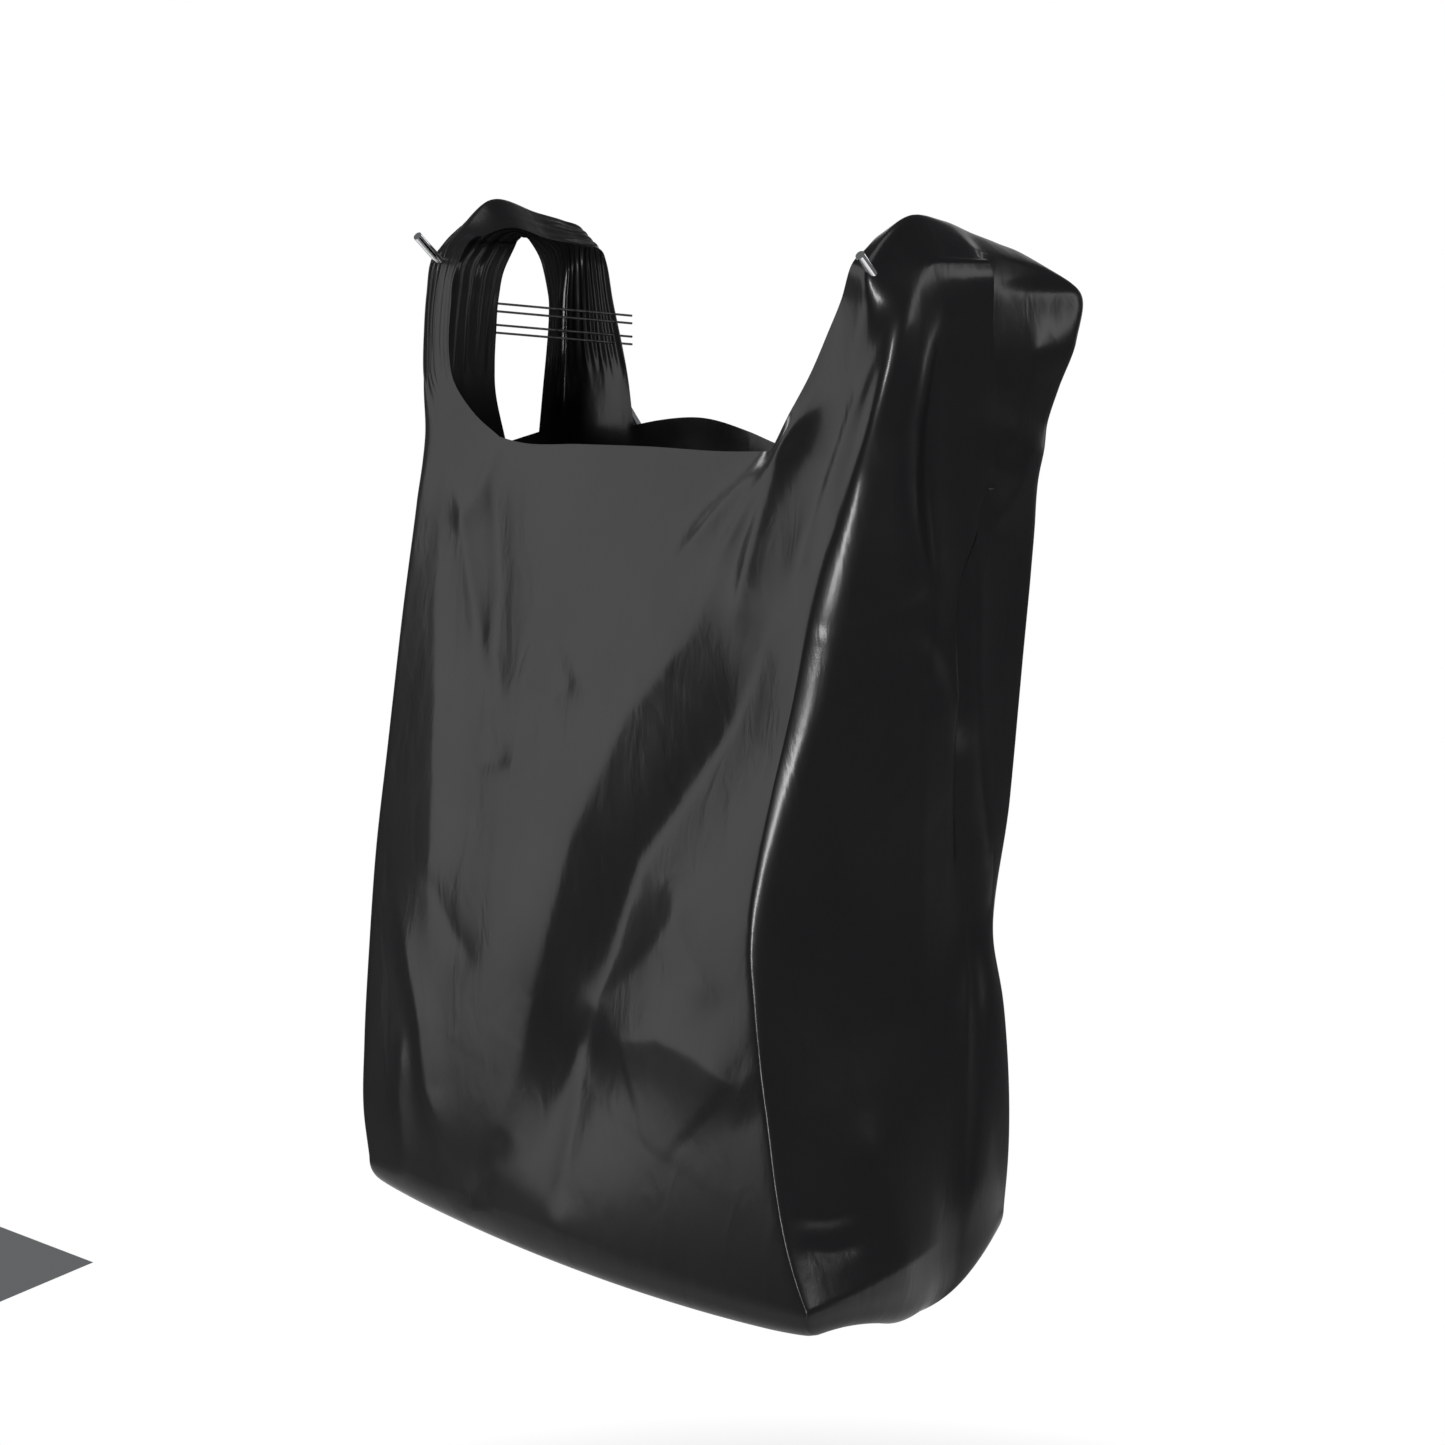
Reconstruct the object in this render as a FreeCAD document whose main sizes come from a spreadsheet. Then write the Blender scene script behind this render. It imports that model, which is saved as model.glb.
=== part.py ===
import FreeCAD, Part
import math
import os

import Sketcher

# A T-shirt bag holder: a wall plate carries a slotted cross bar, two wire arms clamp to
# the bar with wing nuts, and an open carrier bag hangs from the arms by its handles.
# Frame: +Z up, +Y into the wall, -Y towards the user.  The origin is the centre of the
# wall plate's rear face.  "left" is the -X side.

SIZES = [
    # wall plate
    ("plate_width", 120, "wall plate, along X"),
    ("plate_height", 90, "wall plate, along Z"),
    ("plate_thick", 3, "wall plate, along Y"),
    ("plate_corner", 8, "corner radius of the wall plate"),
    ("hole_margin", 12, "wall screw hole axis from the plate's edges"),
    ("wall_hole", 5.5, "wall screw hole diameter"),
    # cross bar and what holds it off the wall plate
    ("bar_end", 6, "bar beyond a carriage at the end of its travel"),
    ("bar_height", 30, "cross bar, along Z"),
    ("bar_thick", 3, "cross bar, along Y"),
    ("spacer_length", 16, "gap from wall plate to cross bar"),
    ("spacer_width", 12, "spacer outer diameter"),
    ("spacer_half_gap", 30, "spacer axis from the middle"),
    ("bar_screw", 5, "screw through bar and spacer, diameter"),
    ("bar_screw_head", 9, "head diameter of that screw"),
    ("bar_screw_head_depth", 2.6, "head height of that screw"),
    ("screw_gap", 0.15, "clearance round a screw, per side"),
    ("cap_length", 7, "end cap, along X"),
    ("cap_wall", 1.2, "end cap wall"),
    ("cap_fit", 0.05, "end cap clearance on the bar, per side"),
    # arm carriages, their clamp bolts and wing nuts
    ("arm_travel", 12, "slide of each arm, each way"),
    ("carriage_width", 32, "carriage, along X"),
    ("carriage_wall", 2.5, "carriage sheet thickness"),
    ("slide_gap", 0.3, "running gap of the carriage on the bar"),
    ("bolt_half_gap", 66, "clamp bolt axis from the middle"),
    ("bolt_inset", 10, "clamp bolt axis from the carriage's inner edge"),
    ("weld_beyond", 18, "foot of the arm wire beyond the clamp bolt"),
    ("bolt_width", 6, "clamp bolt diameter"),
    ("bolt_head", 14, "clamp bolt head diameter"),
    ("bolt_head_depth", 3.4, "clamp bolt head height"),
    ("bolt_tail", 2.5, "bolt length past the wing nut"),
    ("slot_gap", 0.3, "clearance of the bolt's square neck in the slot, per side"),
    ("thread_gap", 0.05, "wing nut and bolt, radial clearance"),
    ("washer_width", 13, "washer diameter"),
    ("washer_thick", 1.2, "washer thickness"),
    ("nut_hub", 11, "wing nut hub diameter"),
    ("nut_hub_depth", 6.5, "wing nut hub height"),
    ("nut_wing_reach", 14, "wing tip from the nut's axis"),
    ("nut_wing_rise", 5, "wing tip beyond the hub's front"),
    ("nut_wing_thick", 2.6, "wing thickness"),
    # arm wires, from the wall and from the middle of the bar
    ("wire_width", 4.4, "arm wire diameter"),
    ("arm_half_gap", 131, "arm wire from the middle"),
    ("foot_low", -12, "lower end of the arm wire"),
    ("foot_high", 18, "bend above the weld"),
    ("shoulder_out", 38.5, "upright leg of the wire from the wall"),
    ("shoulder_z", 147.5, "rear bend above the bar's middle"),
    ("upright", 57.5, "upright leg, from its knee to the rear bend"),
    ("arm_reach", 156, "low front bend from the wall"),
    ("crest_back", 33, "crest behind the low front bend"),
    ("crest_rise", 23.5, "crest above the rear bend"),
    ("dip_fall", 27, "low front bend below the crest"),
    ("tip_beyond", 18.5, "tip ahead of the low front bend"),
    ("tip_rise", 15.5, "tip above the low front bend"),
    ("bend_wide", 10, "bend radius of the foot, knee and crest"),
    ("bend_tight", 7, "bend radius of the rear bend and the low front bend"),
    # bag, hung open
    ("film", 0.6, "thickness that stands in for the bag film"),
    ("film_gap", 0.5, "gap between pieces of the bag on different bodies"),
    ("fold_gap", 0.1, "gap between pieces of the bag that meet at a fold"),
    ("bag_shift", -8, "middle of the bag, along X"),
    ("bag_half_width", 142, "bag body, half its width"),
    ("mouth_half_width", 83, "mouth between the handles, half its width"),
    ("strap_ahead", 6, "front film ahead of the low front bend"),
    ("back_ahead", 6.5, "back film ahead of the upright leg"),
    ("mouth_drop", 80, "front edge of the mouth below the low front bend"),
    ("back_mouth_drop", 12, "back edge of the mouth below the front edge"),
    ("belly_gain", 43, "front film at the belly ahead of the mouth"),
    ("bag_drop", 411, "bottom of the bag below the mouth"),
    ("belly_rise", 57, "where the bottom begins to round, above the bottom"),
    ("front_round", 44, "radius of the bottom's front corner"),
    ("back_round", 54, "radius of the bottom's back corner"),
    ("handle_beyond", 15, "outer side of a handle beyond its arm, at the top"),
    ("front_strap_inside", 8, "inner edge of a front strap from its arm, at the top"),
    ("back_strap_inside", 15, "inner edge of a back strap from its arm, at the top"),
    ("waist_rise", 28, "height above the mouth where a strap's inner edge turns upright"),
    ("left_front_flap", 50, "left handle's front gusset flap, along Y"),
    ("left_back_flap", 33, "left handle's back gusset flap, along Y"),
    ("right_front_flap", 76, "right handle's front gusset flap, along Y"),
    ("right_back_flap", 38, "right handle's back gusset flap, along Y"),
    ("roof_side_gap", 0.3, "gap from the handle top to the plane of the flaps"),
    ("roof_clear", 0.44, "clearance of the handle top over the wire, measured upright"),
    ("roof_gap", 0.6, "gap from a flap's upper edge to the handle top"),
    ("strap_drop", 0.5, "clearance between a strap's top edge and the wire"),
    # wire ties through the left handle
    ("tie_width", 1.2, "tie wire diameter"),
    ("tie_spread", 4, "distance between a tie's two legs"),
    ("tie_pitch", 11, "distance between the two ties"),
    ("tie_rise", 57, "upper tie above the mouth, at its bend"),
    ("tie_fall", 10, "drop of a tie from its bend to its ends"),
    ("tie_gap", 0.3, "gap from a tie's bend to the edge of the flap it holds"),
    ("tie_inside", 21, "ends of a tie from the arm wire, towards the middle"),
    ("tie_tail", 10, "ends of a tie beyond the back film"),
]

# Places and lengths that follow from the sizes above.
DERIVED = {
    "hole_pitch_x": "plate_width - 2 * hole_margin",
    "hole_pitch_z": "plate_height - 2 * hole_margin",
    "bar_length": "2 * ( bolt_half_gap - bolt_inset + carriage_width + arm_travel + bar_end )",
    "weld_half_gap": "bolt_half_gap + weld_beyond",
    "shoulder_y": "-1 * shoulder_out",
    "knee_z": "shoulder_z - upright",
    "dip_y": "-1 * arm_reach",
    "crest_y": "crest_back - arm_reach",
    "crest_z": "shoulder_z + crest_rise",
    "dip_z": "crest_z - dip_fall",
    "tip_y": "dip_y - tip_beyond",
    "tip_z": "dip_z + tip_rise",
    "mouth_y": "dip_y - strap_ahead",
    "mouth_z": "dip_z - mouth_drop",
    "back_mouth_z": "mouth_z - back_mouth_drop",
    "belly_y": "mouth_y - belly_gain",
    "back_y": "shoulder_y - back_ahead",
    "bottom_z": "mouth_z - bag_drop",
    "belly_z": "bottom_z + belly_rise",
    "handle_half_gap": "arm_half_gap + handle_beyond",
    "strap_inner_top": "arm_half_gap - front_strap_inside",
    "back_strap_inner_top": "arm_half_gap - back_strap_inside",
    "strap_waist_z": "mouth_z + waist_rise",
    "roof_half_width": "handle_beyond - roof_side_gap",
    "roof_lift": "wire_width * 0.65 + roof_clear",
    "tie_front_z": "mouth_z + tie_rise",
    "tie_half_gap_back": "arm_half_gap - tie_inside",
    "tie_back_y": "back_y + tie_tail",
}

doc = FreeCAD.newDocument("BagHolder")
sheet = doc.addObject("Spreadsheet::Sheet", "Sizes")
for row, (alias, value, meaning) in enumerate(SIZES, start=1):
    sheet.set(f"A{row}", meaning)
    sheet.set(f"B{row}", str(value))
    sheet.setAlias(f"B{row}", alias)
doc.recompute()

parts = []


ALIASES = {alias for alias, _, _ in SIZES}


def bind(expression):
    """Spell out an expression in the sheet's own cells, through the derived names."""
    words = []
    for word in expression.split(" "):
        if word in DERIVED:
            words.append(f"( {bind(DERIVED[word])} )")
        else:
            words.append(f"Sizes.{word}" if word in ALIASES else word)
    return " ".join(words)


def size(name):
    """A driving or derived dimension as a plain number of millimetres."""
    return float(sheet.evalExpression(bind(name)))


def new_body(label, place=("0", "0", "0")):
    body = doc.addObject("PartDesign::Body", label)
    body.Label = label
    for axis, expression in zip("xyz", place):
        body.setExpression(f"Placement.Base.{axis}", bind(expression))
    parts.append(body)
    return body


def new_sketch(body, name, role):
    """A sketch on one of the body's own origin planes."""
    sketch = body.newObject("Sketcher::SketchObject", f"{body.Name}_{name}")
    plane = next(f for f in body.Origin.OriginFeatures if f.Role == role)
    sketch.AttachmentSupport = [(plane, "")]
    sketch.MapMode = "FlatFace"
    return sketch


def fix_point(sketch, geometry, vertex, name, corner):
    """Tie a vertex to the sketch's origin by two distances from the sheet."""
    for axis, kind, expression in zip("xy", ("DistanceX", "DistanceY"), corner):
        index = sketch.addConstraint(
            Sketcher.Constraint(kind, -1, 1, geometry, vertex, 1.0)
        )
        sketch.renameConstraint(index, f"{name}_{axis}")
        sketch.setExpression(f"Constraints.{name}_{axis}", bind(expression))


def polygon(body, name, role, corners):
    """A closed outline whose every corner is bound to the sheet."""
    sketch = new_sketch(body, name, role)
    count = len(corners)
    ring = []
    for i in range(count):
        angle = 2 * math.pi * i / count
        ring.append(FreeCAD.Vector(10 * math.cos(angle), 10 * math.sin(angle), 0))
    for i in range(count):
        sketch.addGeometry(Part.LineSegment(ring[i], ring[(i + 1) % count]), False)
    for i in range(count):
        sketch.addConstraint(Sketcher.Constraint("Coincident", i, 2, (i + 1) % count, 1))
    for i, corner in enumerate(corners):
        fix_point(sketch, i, 1, f"p{i}", corner)
    return sketch


def circle(body, name, role, centre, diameter):
    """A circle bound to the sheet by its centre and diameter."""
    sketch = new_sketch(body, name, role)
    start = Part.Circle(FreeCAD.Vector(1, 1, 0), FreeCAD.Vector(0, 0, 1), 5)
    sketch.addGeometry(start, False)
    fix_point(sketch, 0, 3, "centre", centre)
    index = sketch.addConstraint(Sketcher.Constraint("Diameter", 0, 10.0))
    sketch.renameConstraint(index, "across")
    sketch.setExpression("Constraints.across", bind(diameter))
    return sketch


def pad(body, sketch, length, midplane=True):
    """Thicken a sketch, half each way unless told otherwise."""
    feature = body.newObject("PartDesign::Pad", f"{sketch.Name}_pad")
    feature.Profile = sketch
    feature.setExpression("Length", bind(length))
    feature.Midplane = midplane
    sketch.Visibility = False
    doc.recompute()
    return feature


def pocket(body, sketch, length, midplane=True, reverse=False):
    """Cut a sketch out of the body and make sure that something was cut."""
    before = body.Shape.Volume
    feature = body.newObject("PartDesign::Pocket", f"{sketch.Name}_pocket")
    feature.Profile = sketch
    feature.setExpression("Length", bind(length))
    feature.Midplane = midplane
    feature.Reversed = reverse
    sketch.Visibility = False
    doc.recompute()
    if body.Shape.Volume >= before:
        raise RuntimeError(f"{feature.Name} cuts nothing")
    return feature


def revolve(body, sketch):
    """Turn an XY sketch about the body's Y axis."""
    feature = body.newObject("PartDesign::Revolution", f"{sketch.Name}_turn")
    feature.Profile = sketch
    feature.ReferenceAxis = (sketch, ["V_Axis"])
    feature.Angle = 360
    sketch.Visibility = False
    doc.recompute()
    return feature


def round_edges(body, name, radius, wanted):
    """Fillet the straight edges of the body's tip whose middle passes a test."""
    tip = body.Tip
    names = []
    for number, edge in enumerate(tip.Shape.Edges, start=1):
        if wanted(edge):
            names.append(f"Edge{number}")
    if not names:
        raise RuntimeError(f"{body.Label}: no edges to round for {name}")
    feature = body.newObject("PartDesign::Fillet", f"{body.Name}_{name}")
    feature.Base = (tip, names)
    feature.setExpression("Radius", bind(radius))
    doc.recompute()
    return feature


def along(edge, axis):
    """True for a straight edge that runs along the named axis."""
    if edge.Curve.TypeId != "Part::GeomLine":
        return False
    direction = edge.tangentAt(edge.FirstParameter)
    return abs(abs(getattr(direction, axis)) - 1) < 1e-6


def middle(edge):
    return edge.valueAt((edge.FirstParameter + edge.LastParameter) / 2)


# ---------------------------------------------------------------- wall plate and bar


def box_corners(half_x, half_y):
    return [
        (f"-1 * ( {half_x} )", f"-1 * ( {half_y} )"),
        (half_x, f"-1 * ( {half_y} )"),
        (half_x, half_y),
        (f"-1 * ( {half_x} )", half_y),
    ]


def make_wall_plate():
    body = new_body("wall_plate", ("0", "plate_thick * -0.5", "0"))
    outline = polygon(body, "outline", "XZ_Plane", box_corners("plate_width / 2", "plate_height / 2"))
    pad(body, outline, "plate_thick")
    corner_x = size("plate_width") / 2 - 1
    round_edges(
        body,
        "corners",
        "plate_corner",
        lambda e: along(e, "y") and abs(middle(e).x) > corner_x,
    )
    for i, (sx, sz) in enumerate([(-1, -1), (1, -1), (1, 1), (-1, 1)]):
        centre = (f"{sx} * hole_pitch_x / 2", f"{sz} * hole_pitch_z / 2")
        hole = circle(body, f"wall_hole{i}", "XZ_Plane", centre, "wall_hole")
        pocket(body, hole, "plate_thick * 2")
    for i, sx in enumerate([-1, 1]):
        centre = (f"{sx} * spacer_half_gap", "0")
        hole = circle(body, f"screw_hole{i}", "XZ_Plane", centre, "bar_screw + 2 * screw_gap")
        pocket(body, hole, "plate_thick * 2")


BAR_MIDDLE = "-1 * ( plate_thick + spacer_length + bar_thick / 2 )"
BAR_FRONT = "-1 * ( plate_thick + spacer_length + bar_thick )"


def make_cross_bar():
    body = new_body("cross_bar", ("0", BAR_MIDDLE, "0"))
    outline = polygon(body, "outline", "XZ_Plane", box_corners("bar_length / 2", "bar_height / 2"))
    pad(body, outline, "bar_thick")
    for i, sx in enumerate([-1, 1]):
        centre = (f"{sx} * spacer_half_gap", "0")
        hole = circle(body, f"screw_hole{i}", "XZ_Plane", centre, "bar_screw + 2 * screw_gap")
        pocket(body, hole, "bar_thick * 2")
    slot_half = "( arm_travel + bolt_width / 2 + 4 * slot_gap + 1 )"
    slot_rise = "( bolt_width / 2 + slot_gap )"
    for i, sx in enumerate([-1, 1]):
        near = f"{sx} * bolt_half_gap - {slot_half}"
        far = f"{sx} * bolt_half_gap + {slot_half}"
        low = f"-1 * {slot_rise}"
        corners = [(near, low), (far, low), (far, slot_rise), (near, slot_rise)]
        slot = polygon(body, f"slot{i}", "XZ_Plane", corners)
        pocket(body, slot, "bar_thick * 2")
    inner = size("spacer_half_gap") + size("bar_screw")
    outer = size("bar_length") / 2 - 1
    round_edges(
        body,
        "slot_ends",
        "bolt_width / 2 - slot_gap",
        lambda e: along(e, "y") and inner < abs(middle(e).x) < outer,
    )


def make_spacers():
    """Two turned spacers between wall plate and bar, one node each."""
    for side, sign in (("left", -1), ("right", 1)):
        body = new_body(f"{side}_spacer", (f"{sign} * spacer_half_gap", "-1 * plate_thick", "0"))
        bore = "bar_screw / 2 + screw_gap"
        corners = [
            (bore, "0"),
            ("spacer_width / 2", "0"),
            ("spacer_width / 2", "-1 * spacer_length"),
            (bore, "-1 * spacer_length"),
        ]
        revolve(body, polygon(body, "section", "XY_Plane", corners))


def make_bar_screws():
    """Round-head screws from the bar's front through the spacers into the plate."""
    for side, sign in (("left", -1), ("right", 1)):
        body = new_body(f"{side}_bar_screw", (f"{sign} * spacer_half_gap", BAR_FRONT, "0"))
        shank = "plate_thick * 0.8 + spacer_length + bar_thick"
        corners = [
            ("0", shank),
            ("bar_screw / 2", shank),
            ("bar_screw / 2", "0"),
            ("bar_screw_head / 2", "0"),
            ("bar_screw_head / 2", "bar_screw_head_depth * -0.45"),
            ("bar_screw_head * 0.34", "bar_screw_head_depth * -0.85"),
            ("bar_screw_head * 0.14", "-1 * bar_screw_head_depth"),
            ("0", "-1 * bar_screw_head_depth"),
        ]
        revolve(body, polygon(body, "section", "XY_Plane", corners))


def make_end_caps():
    """Plastic caps pushed over the ends of the bar."""
    for side, sign in (("left", -1), ("right", 1)):
        place = (f"{sign} * ( bar_length / 2 + cap_wall - cap_length / 2 )", BAR_MIDDLE, "0")
        body = new_body(f"{side}_end_cap", place)
        outer = box_corners("bar_thick / 2 + cap_fit + cap_wall", "bar_height / 2 + cap_fit + cap_wall")
        pad(body, polygon(body, "outline", "YZ_Plane", outer), "cap_length")
        mouth = polygon(
            body, "mouth", "YZ_Plane", box_corners("bar_thick / 2 + cap_fit", "bar_height / 2 + cap_fit")
        )
        # The sketch stands at the cap's middle, so the cut is made deep enough to leave one wall.
        mouth.setExpression(
            "AttachmentOffset.Base.z", bind(f"{sign} * ( cap_length / 2 - cap_wall )")
        )
        doc.recompute()
        pocket(body, mouth, "cap_length", midplane=False, reverse=sign < 0)


# ---------------------------------------------------------------------- arm hardware


CARRIAGE_FRONT = "( plate_thick + spacer_length + bar_thick + slide_gap + carriage_wall )"


def make_carriage(side, sign):
    """A sheet-steel channel that rides on the bar, with a hole for the clamp bolt."""
    middle_x = f"{sign} * ( bolt_half_gap - bolt_inset + carriage_width / 2 )"
    body = new_body(f"{side}_carriage", (middle_x, "0", "0"))
    back = "-1 * ( plate_thick + spacer_length )"
    wall_back = "-1 * ( plate_thick + spacer_length + bar_thick + slide_gap )"
    front = f"-1 * {CARRIAGE_FRONT}"
    inside = "bar_height / 2 + slide_gap"
    outside = "bar_height / 2 + slide_gap + carriage_wall"
    corners = [
        (front, f"-1 * ( {outside} )"),
        (back, f"-1 * ( {outside} )"),
        (back, f"-1 * ( {inside} )"),
        (wall_back, f"-1 * ( {inside} )"),
        (wall_back, inside),
        (back, inside),
        (back, outside),
        (front, outside),
    ]
    pad(body, polygon(body, "section", "YZ_Plane", corners), "carriage_width")
    front_y = -size("plate_thick") - size("spacer_length") - size("bar_thick")
    front_y -= size("slide_gap") + size("carriage_wall")
    round_edges(
        body,
        "folds",
        "carriage_wall * 0.8",
        lambda e: along(e, "x") and middle(e).y < front_y + 0.1,
    )
    centre = (f"{sign} * ( bolt_inset - carriage_width / 2 )", "0")
    hole = circle(body, "bolt_hole", "XZ_Plane", centre, "bolt_width + 2 * screw_gap")
    pocket(body, hole, "plate_thick + spacer_length + bar_thick + 20", midplane=False, reverse=True)


def make_clamp_bolt(side, sign):
    """A carriage bolt: domed head behind the bar, square neck in the slot."""
    body = new_body(
        f"{side}_clamp_bolt", (f"{sign} * bolt_half_gap", "-1 * ( plate_thick + spacer_length )", "0")
    )
    end = "-1 * ( bar_thick + slide_gap + carriage_wall + washer_thick + nut_hub_depth + bolt_tail )"
    corners = [
        ("0", "bolt_head_depth"),
        ("bolt_head * 0.2", "bolt_head_depth"),
        ("bolt_head * 0.4", "bolt_head_depth * 0.65"),
        ("bolt_head / 2", "slide_gap"),
        ("bolt_width / 2", "slide_gap"),
        ("bolt_width / 2", end),
        ("0", end),
    ]
    revolve(body, polygon(body, "section", "XY_Plane", corners))
    neck = polygon(body, "neck", "XZ_Plane", box_corners("bolt_width / 2", "bolt_width / 2"))
    neck.setExpression("AttachmentOffset.Base.z", bind("-1 * slide_gap"))
    doc.recompute()
    pad(body, neck, "bar_thick", midplane=False)


def make_washer(side, sign):
    body = new_body(f"{side}_washer", (f"{sign} * bolt_half_gap", f"-1 * {CARRIAGE_FRONT}", "0"))
    corners = [
        ("bolt_width / 2 + screw_gap", "0"),
        ("washer_width / 2", "0"),
        ("washer_width / 2", "-1 * washer_thick"),
        ("bolt_width / 2 + screw_gap", "-1 * washer_thick"),
    ]
    revolve(body, polygon(body, "section", "XY_Plane", corners))


def make_wing_nut(side, sign):
    place = (f"{sign} * bolt_half_gap", f"-1 * ( {CARRIAGE_FRONT} + washer_thick )", "0")
    body = new_body(f"{side}_wing_nut", place)
    bore = "bolt_width / 2 + thread_gap"
    hub = [
        (bore, "0"),
        ("nut_hub / 2", "0"),
        ("nut_hub * 0.4", "-1 * nut_hub_depth"),
        (bore, "-1 * nut_hub_depth"),
    ]
    revolve(body, polygon(body, "hub", "XY_Plane", hub))
    for i, way in enumerate([-1, 1]):
        wing = [
            (f"{way} * nut_hub * 0.38", "nut_hub_depth * -0.15"),
            (f"{way} * nut_wing_reach * 0.8", "nut_hub_depth * -0.45"),
            (f"{way} * nut_wing_reach", "-1 * nut_hub_depth"),
            (f"{way} * nut_wing_reach", "-1 * ( nut_hub_depth + nut_wing_rise )"),
            (f"{way} * nut_wing_reach * 0.72", "-1 * ( nut_hub_depth + nut_wing_rise )"),
            (f"{way} * nut_hub * 0.38", "nut_hub_depth * -0.9"),
        ]
        pad(body, polygon(body, f"wing{i}", "XY_Plane", wing), "nut_wing_thick")


def rounded_path(points, radii):
    """Straight runs joined by tangent arcs; radii has one value for each inner point."""
    edges = []
    start = points[0]
    for i in range(1, len(points) - 1):
        into = (points[i] - points[i - 1]).normalize()
        out = (points[i + 1] - points[i]).normalize()
        turn = into.getAngle(out)
        reach = radii[i - 1] * math.tan(turn / 2)
        first = points[i] - into * reach
        last = points[i] + out * reach
        inward = (out - into).normalize()
        centre = points[i] + inward * (radii[i - 1] / math.cos(turn / 2))
        top = centre - inward * radii[i - 1]
        edges.append(Part.LineSegment(start, first).toShape())
        edges.append(Part.Arc(first, top, last).toShape())
        start = last
    edges.append(Part.LineSegment(start, points[-1]).toShape())
    return Part.Wire(edges)


def make_bent_wire(label, points, radii, width):
    """A round wire along a bent path in three dimensions."""
    path = rounded_path(points, radii)
    first = path.Edges[0]
    direction = first.tangentAt(first.FirstParameter)
    ring = Part.Wire([Part.makeCircle(width / 2, points[0], direction)])
    shape = path.makePipeShell([ring], True, True)
    expected = math.pi * width**2 / 4 * path.Length
    if abs(shape.Volume - expected) > 0.01 * expected:
        raise RuntimeError(f"{label}: the wire's volume is wrong")
    feature = doc.addObject("Part::Feature", label)
    feature.Label = label
    feature.Shape = shape
    feature.Placement = FreeCAD.Placement()
    parts.append(feature)
    return feature


def make_arm_wire(side, sign):
    """Foot welded to the carriage, knee, upright, shoulder, crest, dip and upturned tip."""
    half = size("wire_width") / 2
    front = size("plate_thick") + size("spacer_length") + size("bar_thick")
    front += size("slide_gap") + size("carriage_wall")
    foot_x = sign * size("weld_half_gap")
    arm_x = sign * size("arm_half_gap")
    points = [
        FreeCAD.Vector(foot_x, -front - half, size("foot_low")),
        FreeCAD.Vector(foot_x, -front - half, size("foot_high")),
        FreeCAD.Vector(arm_x, size("shoulder_y"), size("knee_z")),
        FreeCAD.Vector(arm_x, size("shoulder_y"), size("shoulder_z")),
        FreeCAD.Vector(arm_x, size("crest_y"), size("crest_z")),
        FreeCAD.Vector(arm_x, size("dip_y"), size("dip_z")),
        FreeCAD.Vector(arm_x, size("tip_y"), size("tip_z")),
    ]
    wide = size("bend_wide")
    tight = size("bend_tight")
    make_bent_wire(f"{side}_arm_wire", points, [wide, wide, tight, wide, tight], size("wire_width"))


# ------------------------------------------------------------------------------- bag

BAG_LEFT = "( bag_shift - bag_half_width )"
BAG_RIGHT = "( bag_shift + bag_half_width )"


def make_bag_body():
    """Front, bottom and back of the bag, one sheet folded under, as three nodes."""
    body = new_body("bag_front_panel", ("bag_shift", "0", "0"))
    corners = [
        ("mouth_y", "mouth_z"),
        ("mouth_y + film", "mouth_z"),
        ("belly_y + film", "belly_z"),
        ("belly_y", "belly_z"),
    ]
    pad(body, polygon(body, "section", "YZ_Plane", corners), "bag_half_width * 2")

    body = new_body("bag_bottom_panel", ("bag_shift", "0", "0"))
    corners = [
        ("belly_y", "belly_z"),
        ("belly_y", "bottom_z"),
        ("back_y", "bottom_z"),
        ("back_y", "belly_z"),
        ("back_y - film", "belly_z"),
        ("back_y - film", "bottom_z + film"),
        ("belly_y + film", "bottom_z + film"),
        ("belly_y + film", "belly_z"),
    ]
    pad(body, polygon(body, "section", "YZ_Plane", corners), "bag_half_width * 2")
    low = size("bottom_z") + size("film") + 0.1
    depth_middle = (size("belly_y") + size("back_y")) / 2
    for name, radius, front, inner in (
        ("front_outer", "front_round", True, False),
        ("front_inner", "front_round - film", True, True),
        ("back_outer", "back_round", False, False),
        ("back_inner", "back_round - film", False, True),
    ):

        def wanted(e):
            if not along(e, "x") or middle(e).z > low:
                return False
            on_front = middle(e).y < depth_middle
            on_inner = middle(e).z > size("bottom_z") + size("film") / 2
            return on_front == front and on_inner == inner and near_corner(e)

        round_edges(body, name, radius, wanted)

    body = new_body("bag_back_panel", ("bag_shift", "back_y - film / 2", "0"))
    corners = [
        ("-1 * bag_half_width", "belly_z"),
        ("bag_half_width", "belly_z"),
        ("bag_half_width", "back_mouth_z"),
        ("-1 * bag_half_width", "back_mouth_z"),
    ]
    pad(body, polygon(body, "outline", "XZ_Plane", corners), "film")


def near_corner(edge):
    """True for a lengthwise edge at the sharp corner of the bottom's trough."""
    y = middle(edge).y
    film = size("film")
    at_front = abs(y - size("belly_y")) < film + 0.01
    at_back = abs(y - size("back_y")) < film + 0.01
    return at_front or at_back


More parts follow.
